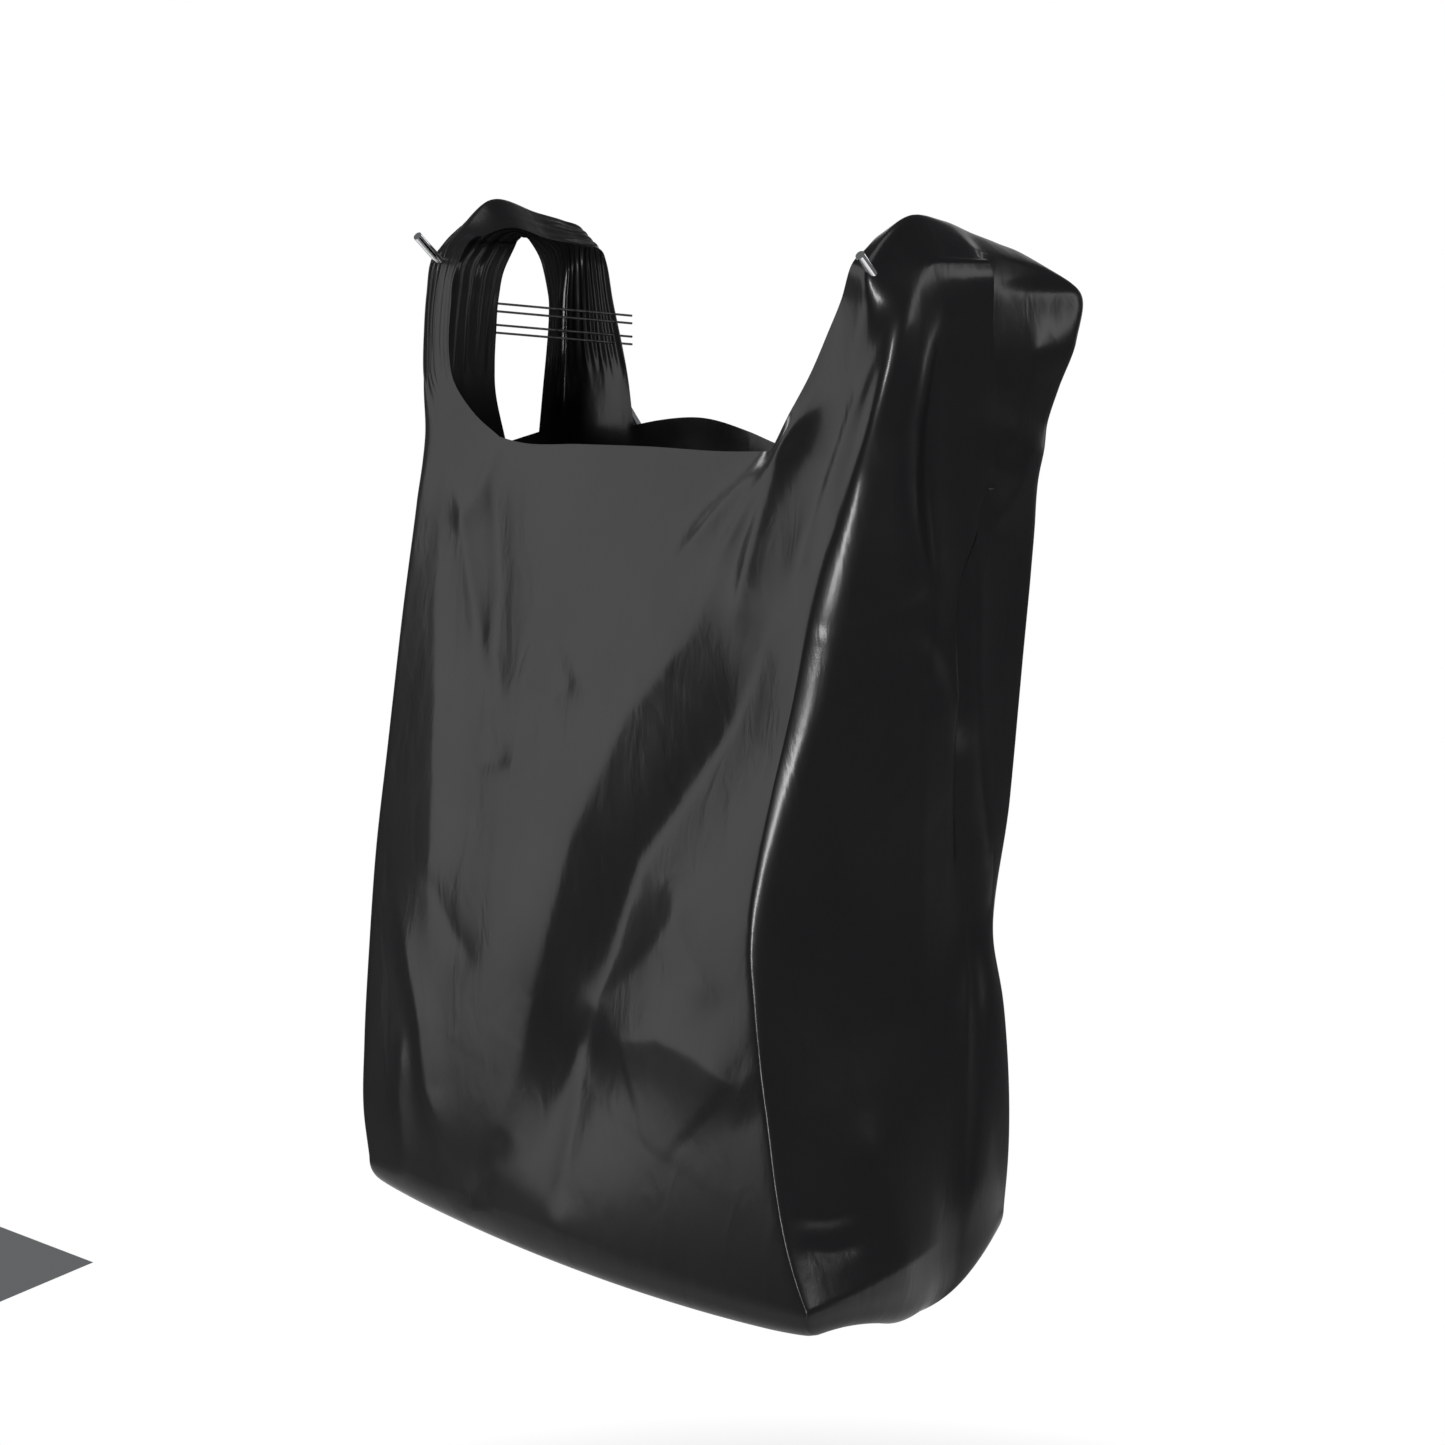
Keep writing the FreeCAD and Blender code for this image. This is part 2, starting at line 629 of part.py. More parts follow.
def make_gusset(side, edge_x, sign):
    """One side of the bag, inside the folded sheet's end."""
    body = new_body(f"bag_{side}_gusset", (f"{edge_x} - {sign} * film / 2", "0", "0"))
    inset = "( film + fold_gap )"
    corners = [
        (f"mouth_y + {inset}", "mouth_z"),
        (f"belly_y + {inset}", "belly_z"),
        (f"belly_y + {inset}", f"bottom_z + {inset}"),
        (f"back_y - {inset}", f"bottom_z + {inset}"),
        (f"back_y - {inset}", "back_mouth_z"),
    ]
    pad(body, polygon(body, "outline", "YZ_Plane", corners), "film")
    low = size("bottom_z") + size("film") + size("fold_gap") + 0.1
    depth_middle = (size("belly_y") + size("back_y")) / 2
    round_edges(
        body,
        "front_corner",
        f"front_round - {inset}",
        lambda e: along(e, "x") and middle(e).z < low and middle(e).y < depth_middle,
    )
    round_edges(
        body,
        "back_corner",
        f"back_round - {inset}",
        lambda e: along(e, "x") and middle(e).z < low and middle(e).y > depth_middle,
    )


ROOF_RISE = "( crest_z - shoulder_z ) / ( shoulder_y - crest_y )"
ROOF_FALL = "( crest_z - dip_z ) / ( crest_y - dip_y )"


def rear_slope(y):
    """Height of the wire's middle line between shoulder and crest, as an expression."""
    return f"shoulder_z + ( shoulder_y - ( {y} ) ) * {ROOF_RISE}"


def front_slope(y):
    """Height of the wire's middle line between crest and dip, as an expression."""
    return f"crest_z - ( crest_y - ( {y} ) ) * {ROOF_FALL}"


def make_handle_top(side, sign):
    """The sealed top of a handle, draped over the arm wire."""
    body = new_body(f"{side}_handle_top", (f"{sign} * arm_half_gap", "0", "0"))
    front_y = "dip_y + bend_tight * 0.7"
    front_z = f"{front_slope(front_y)} + roof_lift"
    back_z = f"{rear_slope('back_y')} + roof_lift"
    thick = "film * 1.25"
    corners = [
        (front_y, front_z),
        ("crest_y", "crest_z + roof_lift"),
        ("back_y", back_z),
        ("back_y", f"{back_z} + {thick}"),
        ("crest_y", f"crest_z + roof_lift + {thick}"),
        (front_y, f"{front_z} + {thick}"),
    ]
    pad(body, polygon(body, "section", "YZ_Plane", corners), "roof_half_width * 2")


def make_strap(side, sign, which):
    """A handle's front or back strap, from the mouth's corner up to the arm wire."""
    bag_edge = BAG_LEFT if sign < 0 else BAG_RIGHT
    mouth_corner = f"( bag_shift + {sign} * mouth_half_width )"
    if which == "front":
        middle_y = "mouth_y + film / 2"
        low = "mouth_z + film_gap"
        top = "dip_z - wire_width / 2 - strap_drop"
        inner = f"{sign} * strap_inner_top"
    else:
        middle_y = "back_y - film / 2"
        low = "back_mouth_z + film_gap"
        top = f"{rear_slope('back_y')} - wire_width * 0.52 - strap_drop"
        inner = f"{sign} * back_strap_inner_top"
    body = new_body(f"{side}_{which}_strap", ("0", middle_y, "0"))
    corners = [
        (mouth_corner, low),
        (bag_edge, low),
        (f"{sign} * handle_half_gap", top),
        (inner, top),
        (inner, "strap_waist_z"),
    ]
    pad(body, polygon(body, "outline", "XZ_Plane", corners), "film")


def flap_lean(sign):
    """Where a flap's outer side stands at the mouth and at the crest, and the rise between."""
    foot = size("bag_shift") + sign * size("bag_half_width")
    top = sign * (size("handle_half_gap") + size("film"))
    return foot, top, size("crest_z") - size("mouth_z")


def make_flap(side, sign, which):
    """The gusset film beside a strap, on the outer side of a handle, leaning outwards."""
    lean_foot, lean_top, rise = flap_lean(sign)
    body = new_body(f"{side}_{which}_flap")
    low = "mouth_z + film_gap"
    under_roof = "roof_lift - roof_gap"
    if which == "front":
        outer = "mouth_y + film + fold_gap"
        inner = f"mouth_y + {side}_front_flap"
        corners = [(outer, low), (inner, low)]
        if size("mouth_y") + size(f"{side}_front_flap") > size("crest_y"):
            corners.append((inner, f"{rear_slope(inner)} + {under_roof}"))
            corners.append(("crest_y", f"crest_z + {under_roof}"))
        else:
            corners.append((inner, f"{front_slope(inner)} + {under_roof}"))
        corners.append((outer, f"{front_slope(outer)} + {under_roof}"))
    else:
        outer = "back_y - film - fold_gap"
        inner = f"back_y - {side}_back_flap"
        corners = [
            (outer, low),
            (inner, low),
            (inner, f"{rear_slope(inner)} + {under_roof}"),
            (outer, f"{rear_slope(outer)} + {under_roof}"),
        ]
    pad(body, polygon(body, "outline", "YZ_Plane", corners), "film")
    lean = FreeCAD.Rotation(
        FreeCAD.Vector(0, 1, 0), math.degrees(math.atan2(lean_top - lean_foot, rise))
    )
    pivot = FreeCAD.Vector(0, 0, size("mouth_z"))
    foot = FreeCAD.Vector(lean_foot - sign * size("film") / 2, 0, size("mouth_z"))
    for axis in "xyz":
        body.setExpression(f"Placement.Base.{axis}", None)
    body.Placement = FreeCAD.Placement(foot - lean.multVec(pivot), lean)


def make_tie(label, drop):
    """A thin wire doubled back on itself, through the left handle."""
    half = size("tie_spread") / 2
    front_z = size("tie_front_z") - drop
    back_z = front_z - size("tie_fall")
    foot, top, rise = flap_lean(-1)
    front_x = foot + (top - foot) * (front_z - size("mouth_z")) / rise + size("film") / 2
    front_y = size("mouth_y") + size("left_front_flap") + size("tie_gap") + size("tie_width") / 2
    back_x = -size("tie_half_gap_back")
    points = [
        FreeCAD.Vector(back_x, size("tie_back_y"), back_z + half),
        FreeCAD.Vector(front_x, front_y, front_z + half),
        FreeCAD.Vector(front_x, front_y, front_z - half),
        FreeCAD.Vector(back_x, size("tie_back_y"), back_z - half),
    ]
    bend = half * 0.8
    make_bent_wire(label, points, [bend, bend], size("tie_width"))


make_wall_plate()
make_cross_bar()
make_spacers()
make_bar_screws()
make_end_caps()
for hand, way in (("left", -1), ("right", 1)):
    make_carriage(hand, way)
    make_clamp_bolt(hand, way)
    make_washer(hand, way)
    make_wing_nut(hand, way)
    make_arm_wire(hand, way)
make_bag_body()
make_gusset("left", BAG_LEFT, -1)
make_gusset("right", BAG_RIGHT, 1)
for hand, way in (("left", -1), ("right", 1)):
    make_handle_top(hand, way)
    for place in ("front", "back"):
        make_strap(hand, way, place)
        make_flap(hand, way, place)
make_tie("upper_tie", 0)
make_tie("lower_tie", size("tie_pitch"))

doc.recompute()
for item in doc.Objects:
    if "Invalid" in item.State or "Error" in item.State:
        raise RuntimeError(f"{item.Label} failed: {item.State}")
for item in parts:
    if item.Shape.isNull() or not item.Shape.isValid():
        raise RuntimeError(f"{item.Label} has no valid shape")

os.makedirs("parts", exist_ok=True)
for item in parts:
    item.Shape.exportStep(f"parts/{item.Label}.step")
print(len(parts), "parts written")
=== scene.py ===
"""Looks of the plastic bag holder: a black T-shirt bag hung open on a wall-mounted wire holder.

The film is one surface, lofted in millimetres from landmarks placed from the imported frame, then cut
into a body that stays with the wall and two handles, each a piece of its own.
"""

import math

import bpy
import numpy as np
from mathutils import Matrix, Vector


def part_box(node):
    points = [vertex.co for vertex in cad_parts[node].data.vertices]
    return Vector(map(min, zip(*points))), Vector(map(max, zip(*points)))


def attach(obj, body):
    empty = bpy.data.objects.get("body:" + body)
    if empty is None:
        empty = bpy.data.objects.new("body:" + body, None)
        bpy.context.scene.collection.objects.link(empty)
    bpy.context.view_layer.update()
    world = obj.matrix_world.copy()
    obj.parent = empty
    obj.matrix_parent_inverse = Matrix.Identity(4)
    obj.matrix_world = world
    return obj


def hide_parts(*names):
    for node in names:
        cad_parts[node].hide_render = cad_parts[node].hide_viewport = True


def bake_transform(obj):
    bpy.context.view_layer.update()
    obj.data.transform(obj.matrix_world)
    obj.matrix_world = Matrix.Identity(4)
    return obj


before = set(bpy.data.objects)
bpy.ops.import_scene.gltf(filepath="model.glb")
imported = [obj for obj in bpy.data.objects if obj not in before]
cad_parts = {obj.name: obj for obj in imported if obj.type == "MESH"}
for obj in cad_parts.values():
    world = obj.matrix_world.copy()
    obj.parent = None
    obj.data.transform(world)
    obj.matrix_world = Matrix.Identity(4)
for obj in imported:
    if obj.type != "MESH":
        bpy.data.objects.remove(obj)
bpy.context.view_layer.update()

MM = 0.001
LEFT, RIGHT = -1, 1

# The film's grid: spacing of its rows in millimetres, and cells in each part of a column or row.
STEP = 1.5
BAND_CELLS = {LEFT: np.array([24, 20, 40]), RIGHT: np.array([26, 14, 46])}
MOUTH_FRONT_CELLS = 116
MOUTH_BACK_CELLS = 136
SLIT_CELLS = 4
HOLE_CELLS = 18
CREST_CELLS = 6
BOTTOM_ROWS = 45

# How widely the folds are rounded, in grid cells.
BAND_SOFTNESS = {LEFT: 2.6, RIGHT: 3.2}
BODY_SOFTNESS = 1.7


def corners(node):
    """The two corners of a CAD node, in millimetres."""
    low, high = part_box(node)
    return np.array(low) / MM, np.array(high) / MM


# Places taken from the frame, in millimetres.
FRONT_LOW, FRONT_HIGH = corners("bag_front_panel")
TOP_LOW, TOP_HIGH = corners("right_handle_top")
ARM = (TOP_LOW[0] + TOP_HIGH[0]) / 2
MOUTH = FRONT_HIGH[2]
MIDDLE = (FRONT_LOW[0] + FRONT_HIGH[0]) / 2


# --- curves through given points -------------------------------------------------------------------


def smooth_through(keys, values, at):
    """A smooth curve through values given at increasing keys, read at the places `at`."""
    keys = np.asarray(keys, float)
    values = np.asarray(values, float)
    slopes = np.gradient(values, keys, axis=0)
    at = np.clip(np.asarray(at, float), keys[0], keys[-1])
    cell = np.clip(np.searchsorted(keys, at) - 1, 0, len(keys) - 2)
    span = keys[cell + 1] - keys[cell]
    t = (at - keys[cell]) / span
    shape = (-1,) + (1,) * (values.ndim - 1)
    t, span = t.reshape(shape), span.reshape(shape)
    start, end = values[cell], values[cell + 1]
    away, into = slopes[cell] * span, slopes[cell + 1] * span
    return (
        (2 * t**3 - 3 * t**2 + 1) * start
        + (t**3 - 2 * t**2 + t) * away
        + (3 * t**2 - 2 * t**3) * end
        + (t**3 - t**2) * into
    )


def lengths_along(points):
    """Distance from the first point to each point of a line."""
    steps = np.linalg.norm(np.diff(points, axis=0), axis=1)
    return np.concatenate([[0], np.cumsum(steps)])


def ease(t):
    """0 to 1 with level ends."""
    t = np.clip(t, 0, 1)
    return t * t * (3 - 2 * t)


def soften(rows, width, closed):
    """Round the folds of each row of points with a bell of that width, in grid steps."""
    reach = max(1, int(3 * width))
    offsets = np.arange(-reach, reach + 1)
    bell = np.exp(-0.5 * (offsets / width) ** 2)
    bell /= bell.sum()
    if closed:
        padded = np.concatenate([rows[:, -reach:], rows, rows[:, :reach]], axis=1)
    else:
        first, last = rows[:, :1], rows[:, -1:]
        before = 2 * first - rows[:, reach:0:-1]
        after = 2 * last - rows[:, -2 : -reach - 2 : -1]
        padded = np.concatenate([before, rows, after], axis=1)
    result = np.zeros_like(rows)
    for weight, offset in zip(bell, offsets):
        start = reach + offset
        result += weight * padded[:, start : start + rows.shape[1]]
    return result


# --- handles ---------------------------------------------------------------------------------------
# Each handle is a band that climbs from the front of the mouth, passes over the arm and comes down
# behind. A section across it has four points: inner cut edge, line over the wire, outer fold, and
# the edge of the gusset. A point is (out from the arm, from the wall, up from the mouth).

LEFT_SECTIONS = [
    [(-40, -162, -1), (-12, -163, -1), (13, -163, 0), (12, -99, -14)],
    [(-24, -162, 9), (-5, -163, 12), (12.5, -162.5, 14), (11, -107, 10)],
    [(-11, -162.5, 24), (2, -163, 27), (11.5, -162, 30), (10, -109, 28)],
    [(-7.5, -162, 38), (2, -163, 42), (10, -162, 47), (9.5, -108, 45)],
    [(-9, -161.5, 62), (0, -162.5, 64), (8, -161.5, 68), (9, -106, 62)],
    [(-11, -160, 78), (-3, -161, 80), (6, -160, 84), (9, -101, 76)],
    [(-13, -154, 90), (-2, -157, 88), (8, -152, 87), (10, -93, 85)],
    [(-14.5, -141, 95), (-0.5, -141, 100), (12, -138, 93), (12, -88, 88.5)],
    [(-15, -124, 98), (0, -123, 112), (12.5, -120, 99), (13, -84.5, 90)],
    [(-14.5, -90, 90.5), (0, -86, 105), (12.5, -84, 97), (13, -82, 90.5)],
    [(-13, -66, 87), (0, -66, 100), (12, -70, 91.5), (12, -78, 88.5)],
    [(-12, -50, 84), (0, -50, 94), (11, -54, 86), (10.5, -71, 78)],
    [(-12, -45, 76), (4, -44.5, 79), (14, -46, 76), (10, -66.5, 62)],
    [(-15.5, -44.5, 58), (2, -44.5, 58), (16, -45.5, 58), (10, -66, 50)],
    [(-21.5, -44.5, 35), (0, -45, 34), (17, -46, 34), (10, -68.5, 30)],
    [(-27, -45, 12), (-4, -45.5, 10), (17, -47, 8), (11, -71, 8)],
    [(-30.5, -46, -7), (-6, -46.5, -6), (17, -47.5, -7), (12, -73, -11)],
]

RIGHT_SECTIONS = [
    [(-54, -162.5, 5), (-22, -164, 1), (-7, -165, 0), (18, -89, -14)],
    [(-47, -163, 17), (-16, -164.5, 16), (-2, -165, 15), (18, -90, 8)],
    [(-40, -163, 29), (-12, -165, 32), (4, -164.5, 34), (18.5, -91, 30)],
    [(-28, -163, 52), (-7, -165.5, 52), (9, -162, 52), (20, -96, 50)],
    [(-17, -164, 75), (-1, -167, 72), (12, -157, 70), (23, -101, 68)],
    [(-10, -167, 90), (0, -168.5, 87), (12, -150, 82), (24.5, -104, 82)],
    [(-8, -159, 97), (0, -158, 100), (13, -141, 90), (23, -105, 89)],
    [(-12, -137, 103), (0, -134, 112.5), (13, -127, 94), (20, -104, 91)],
    [(-13, -112, 98), (0, -110, 109.5), (13, -108, 97), (17, -102, 91)],
    [(-13, -86, 92), (0, -84, 102.5), (12, -90, 93), (13, -98, 89)],
    [(-12, -68, 87), (1, -66, 97.5), (16, -70, 89), (11, -99, 86)],
    [(-10, -51, 82), (5, -50, 91), (24, -50, 83), (10, -102, 80)],
    [(-10, -46, 70), (10, -42, 78), (35, -38, 73), (10, -104, 70)],
    [(-14, -45, 54), (6, -42, 56), (34, -41, 51), (10, -105, 52)],
    [(-20, -45, 30), (2, -44, 30), (25.5, -44, 28), (10, -105, 30)],
    [(-25, -45, 8), (-2, -46, 8), (21.5, -46, 10), (10, -105, 8)],
    [(-28, -46, -8), (-6, -46.5, -8), (20, -47, -8), (10, -105, -12)],
]


def place_sections(sections, side):
    """Section points in the row frame."""
    points = np.array(sections, float)
    points[..., 0] = side * (ARM + points[..., 0])
    points[..., 2] += MOUTH
    return points


def stretch_out(points, cells):
    """Points spread evenly over each straight stretch."""
    line = [
        start + (end - start) * np.arange(n)[:, None] / n
        for start, end, n in zip(points[:-1], points[1:], cells)
    ]
    return np.concatenate(line + [points[-1:]])


def make_band(sections, side):
    """The handle's grid: rows run from the front of the mouth to its back, columns across the band."""
    placed = place_sections(sections, side)
    cells = BAND_CELLS[side]
    across = np.stack([stretch_out(section, cells) for section in placed])
    keys = lengths_along(placed[:, 1])
    rows = int(keys[-1] / STEP)
    band = smooth_through(keys, across, np.linspace(0, keys[-1], rows + 1))
    band = soften(band, BAND_SOFTNESS[side], closed=False)
    return add_pleats(band, cells) if side == LEFT else band


PLEAT_DEPTH = 0.5
PLEAT_FADE = 0.14  # share of the band's length over which the pleats die out at each end


def add_pleats(band, cells):
    """Gather the left handle: fine pleats that run along the band and fade into the body."""
    rows, columns = band.shape[:2]
    along = np.linspace(0, 1, rows)[:, None]
    across = np.arange(columns)[None, :]
    tangents = np.gradient(band, axis=0)
    widths = np.gradient(band, axis=1)
    normals = np.cross(widths, tangents)
    normals /= np.linalg.norm(normals, axis=2, keepdims=True)
    drift = 1.7 * np.sin(5 * along + 0.4) + 1.1 * np.sin(11 * along + 2)
    ripple = np.sin(across * 1.05 + drift) + 0.6 * np.sin(across * 0.62 - 1.4 * drift + 1)
    ripple += 0.2 * np.sin(across * 1.7 + 2.2 * drift + 3)
    inside = ease((across - cells[0] * 0.9) / 14)
    back = ease((along - 0.5) / 0.08)
    gathered = inside + (1 - inside) * (0.1 + 0.7 * back)
    over_wire = ease((along - 0.3) / 0.08) * ease((0.62 - along) / 0.08)
    gathered = gathered * (1 - 0.75 * over_wire * (1 - inside))
    fade = ease(along / PLEAT_FADE) * ease((1 - along) / PLEAT_FADE)
    edge = ease((columns - 1 - across) / 3 + 0.35)
    return band + normals * (PLEAT_DEPTH * ripple * gathered * fade * edge)[..., None]


# --- body ------------------------------------------------------------------------------------------
# Upright lines of the body, from the top down. A point is (along X, from the wall, up from the mouth).

FRONT_LEFT = [
    (-136, -163, 0), (-140, -164, -37), (-148, -171, -113), (-152, -177, -164), (-155.5, -184, -217),
    (-158, -189, -269), (-159, -194, -322), (-158, -197, -360), (-153, -199, -382),
]
FRONT_RIGHT = [
    (132, -165, 0), (122, -168.5, -50), (112, -177, -105), (104, -186, -153), (97.5, -196, -224),
    (101, -198, -247), (110, -202, -292), (135, -207, -380), (138, -207, -386),
]
CREST_WIDTHS = [5, 12, 11, 8, 3, 2, 1.5, 1.5, 1.5]  # of the flattened front right fold at those points
GUSSET_FRONT = [
    (157, -89, -14), (155, -96, -32), (152, -103, -52), (147, -99, -93), (142, -91, -139),
    (136, -84, -195), (133, -84, -244), (140, -92, -314), (143, -100, -396),
]
GUSSET_BACK = [
    (149, -105, -12), (146, -108, -40), (140, -104, -93), (136, -94, -139),
    (134, -80, -195), (134, -72, -244), (142, -82, -314), (144, -88, -396),
]
BACK_RIGHT = [
    (159, -47, -8), (158, -47, -15), (155, -47, -49), (151, -47, -97), (144.5, -47, -173),
    (136, -47, -244), (142, -47, -276), (148, -47, -354), (147, -48, -384),
]
BACK_LEFT = [(-140, -47.5, -7), (-141, -47, -100), (-144, -47, -220), (-146, -47, -384)]
LEFT_GUSSET_BACK = [
    (-135, -73, -11), (-136, -88, -60), (-143, -98, -160), (-150, -104, -300), (-151, -104, -392),
]
LEFT_GUSSET_FRONT = [
    (-135, -99, -14), (-136, -100, -60), (-143, -108, -160), (-150, -118, -300), (-151, -118, -392),
]

# The two edges of the mouth, each from its left to its right as seen from the outside.
MOUTH_FRONT = [
    (-83, -162, -1), (-70, -162.5, -2.6), (-30, -163, -0.5), (10, -163, 1.5), (60, -163, 3), (85, -162, 5),
]
MOUTH_BACK = [
    (111, -46, -8), (60, -38, -12), (8, -34, -15), (-8, -34, -11.5), (-26, -34, -6.5),
    (-58, -35, -1.5), (-80, -40, -4), (-92.5, -46, -7),
]

# Panels of the body, in the order of the upright lines that they start from.
PANELS = ["crest", "side front", "slit", "side back", "back", "left back", "hole", "left front", "front"]
SWELL = {"front": (0, -9), "back": (0, 3), "side front": (4, 0), "side back": (4, 0)}  # outwards, (X, Y)
FULL_DEPTH = 260  # below the mouth, where the swell is whole
SETTLE_DEPTH = 70  # below the mouth, where the body leaves the mouth's own line
FOOT_SAG = 9

CREST_WAY = np.array([0.72, 0.69, 0])  # across the flattened crest, seen from above


def moved(points, widths, share):
    """The same line, each point shifted across the crest by a share of its width."""
    return [tuple(np.array(point) + share * width * CREST_WAY) for point, width in zip(points, widths)]


def upright(points):
    """An upright line of the body as heights and places, top last, in the row frame."""
    line = np.array(points, float)
    line[:, 0] += MIDDLE
    line[:, 2] += MOUTH
    return line[::-1, 2], line[::-1, :2]


def at_height(line, heights):
    """Where an upright line of the body is at those heights."""
    keys, places = line
    return smooth_through(keys, places, heights)


def spread_mouth(points, cells):
    """A mouth edge as evenly spread points in the row frame."""
    line = np.array(points, float)
    line[:, 0] += MIDDLE
    line[:, 2] += MOUTH
    keys = lengths_along(line)
    return smooth_through(keys, line, np.linspace(0, keys[-1], cells + 1))


def make_top_ring(left, right):
    """The ring of points at the mouth, and the column where each part of it starts."""
    parts = [
        spread_mouth(MOUTH_FRONT, MOUTH_FRONT_CELLS),
        right[0],
        stretch_out(np.stack([right[0, -1], right[-1, -1]]), [SLIT_CELLS]),
        right[-1][::-1],
        spread_mouth(MOUTH_BACK, MOUTH_BACK_CELLS),
        left[-1],
        stretch_out(np.stack([left[-1, -1], left[0, -1]]), [HOLE_CELLS]),
        left[0][::-1],
    ]
    parts = [part[:-1] for part in parts]
    starts = np.concatenate([[0], np.cumsum([len(part) for part in parts])])
    return np.concatenate(parts), starts


def make_body(left, right):
    """The body's grid below the mouth (rows run downwards, columns around), where each part of its
    ring starts, and how far each column sags at the foot."""
    top, starts = make_top_ring(left, right)
    total = len(top)
    left_cells, right_cells = BAND_CELLS[LEFT], BAND_CELLS[RIGHT]
    fold_column = starts[1] + right_cells[:2].sum()
    keys = [
        (fold_column - CREST_CELLS // 2, moved(FRONT_RIGHT, CREST_WIDTHS, -0.5)),
        (fold_column + CREST_CELLS // 2, moved(FRONT_RIGHT, CREST_WIDTHS, 0.5)),
        (starts[2], GUSSET_FRONT),
        (starts[3], GUSSET_BACK),
        (starts[3] + right_cells[2], BACK_RIGHT),
        (starts[5] + left_cells[:2].sum(), BACK_LEFT),
        (starts[6], LEFT_GUSSET_BACK),
        (starts[7], LEFT_GUSSET_FRONT),
        (starts[7] + left_cells[2], FRONT_LEFT),
    ]
    columns = [column for column, _ in keys]
    lines = [upright(points) for _, points in keys]
    low = np.array([line[0][0] for line in lines])

    around = np.arange(total)
    wrapped = np.where(around < columns[0], around + total, around)
    stops = np.array(columns + [columns[0] + total])
    panel = np.clip(np.searchsorted(stops, wrapped, side="right") - 1, 0, len(columns) - 1)
    share = (wrapped - stops[panel]) / (stops[panel + 1] - stops[panel])
    following = (panel + 1) % len(columns)
    foot = low[panel] + (low[following] - low[panel]) * ease(share)

    rows = int((MOUTH - low.mean()) / STEP)
    down = np.linspace(0, 1, rows + 1)
    heights = top[:, 2] + (foot - top[:, 2]) * down[:, None]
    grid = np.zeros((rows + 1, total, 3))
    grid[..., 2] = heights
    for column in range(total):
        start = at_height(lines[panel[column]], heights[:, column])
        end = at_height(lines[following[column]], heights[:, column])
        grid[:, column, :2] = start + (end - start) * share[column]

    bulge = np.sin(np.pi * share) ** 0.8 * ease((MOUTH - grid[..., 2]) / FULL_DEPTH)
    for name, (out_x, out_y) in SWELL.items():
        on_panel = panel == PANELS.index(name)
        grid[..., 0] += bulge * on_panel * out_x
        grid[..., 1] += bulge * on_panel * out_y

    grid = soften(grid, BODY_SOFTNESS, closed=True)
    settle = 1 - ease((MOUTH - grid[..., 2:]) / SETTLE_DEPTH)
    grid += (top - grid[0]) * settle
    grid[0] = top

    sag_shares = {
        "front": np.sin(np.pi * share) ** 0.6,
        "side front": ease(share),
        "slit": np.ones(total),
        "side back": ease(1 - share),
    }
    sag = sum(FOOT_SAG * part * (panel == PANELS.index(name)) for name, part in sag_shares.items())
    return grid, starts, sag


SEAL_LEFT, SEAL_RIGHT = MIDDLE - 118, MIDDLE + 112
SEAL_FROM_WALL = -124
BOTTOM_DEPTH = 25
BOTTOM_SQUARENESS = 2.8  # 2 is a round corner, more is squarer


def make_bottom(ring, sag):
    """Rows that round the foot of the bag under and close it along its seal."""
    seal = ring.copy()
    seal[:, 0] = np.clip(ring[:, 0], SEAL_LEFT, SEAL_RIGHT)
    seal[:, 1] = SEAL_FROM_WALL
    turn = np.linspace(0, math.pi / 2, BOTTOM_ROWS + 1)[1:]
    inward = 1 - np.cos(turn) ** (2 / BOTTOM_SQUARENESS)
    downward = np.sin(turn) ** (2 / BOTTOM_SQUARENESS)
    depth = BOTTOM_DEPTH + sag
    rows = []
    for share_in, share_down in zip(inward, downward):
        row = ring + (seal - ring) * share_in
        row[:, 2] = ring[:, 2] - depth * share_down
        rows.append(row)
    return np.stack(rows)


def film_surface():
    """The whole bag as points and quads."""
    left = make_band(LEFT_SECTIONS, LEFT)
    right = make_band(RIGHT_SECTIONS, RIGHT)
    body, starts, sag = make_body(left, right)
    body = np.concatenate([body, make_bottom(body[-1], sag)])
    rows, total = body.shape[:2]

    points = [body.reshape(-1, 3)]
    index = np.arange(rows * total).reshape(rows, total)
    following = np.roll(index, -1, axis=1)
    quads = [np.stack([index[:-1], index[1:], following[1:], following[:-1]], axis=-1).reshape(-1, 4)]

    def add_band(band, front_columns, back_columns, turned):
        """Join a handle's band to the ring's columns in front and behind."""
        base = sum(len(part) for part in points)
        inner = band[1:-1]
        points.append(inner.reshape(-1, 3))
        inside = base + np.arange(inner.shape[0] * inner.shape[1]).reshape(inner.shape[:2])
        grid = np.concatenate([[front_columns], inside, [back_columns]])
        cells = np.stack([grid[:-1, :-1], grid[1:, :-1], grid[1:, 1:], grid[:-1, 1:]], axis=-1)
        quads.append((cells[..., ::-1] if turned else cells).reshape(-1, 4))

    front_of_right = np.arange(starts[1], starts[2] + 1)
    back_of_right = np.arange(starts[3], starts[4] + 1)[::-1]
    back_of_left = np.arange(starts[5], starts[6] + 1)
    front_of_left = np.arange(starts[7], starts[8] + 1)[::-1] % total
    add_band(right, front_of_right, back_of_right, turned=True)
    add_band(left, front_of_left, back_of_left, turned=False)
    return np.concatenate(points), np.concatenate(quads)


